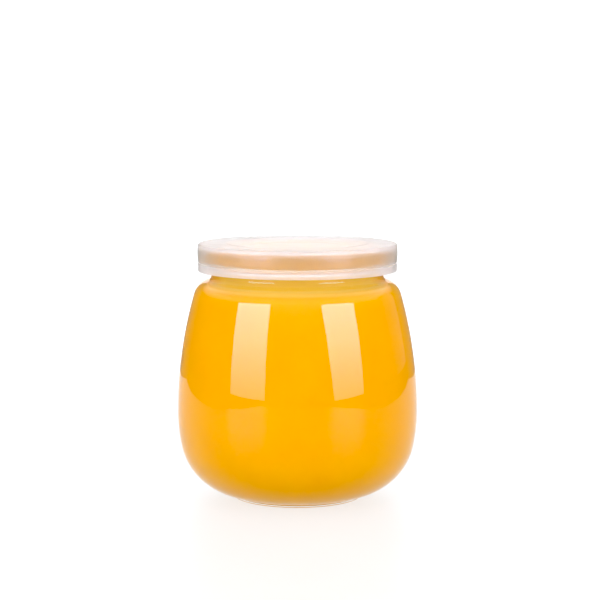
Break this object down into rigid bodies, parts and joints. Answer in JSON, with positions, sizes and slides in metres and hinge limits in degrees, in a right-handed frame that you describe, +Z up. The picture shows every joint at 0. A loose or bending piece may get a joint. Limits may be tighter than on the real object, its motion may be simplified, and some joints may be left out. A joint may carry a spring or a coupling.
{
  "type": "filled glass yogurt jar",
  "caption": "Round-bellied clear glass jar filled to the brim with mango-yellow yogurt and shut by a frosted press-on plastic lid.",
  "frame": {"origin": "on the jar's axis, in the plane of the flat ring that it stands on", "axes": "+Z up along the jar's axis; the part is round, so X and Y are free"},
  "size_m": [0.0748, 0.0748, 0.0791],
  "materials": {
    "clear_glass": "clear, smooth moulded glass",
    "mango_yogurt": "smooth wet mango yogurt, opaque",
    "frosted_lid": "soft translucent frosted plastic"
  },
  "bodies": {
    "root": {"glass_jar": "clear_glass", "yogurt": "mango_yogurt", "lid": "frosted_lid"}
  },
  "joints": []
}
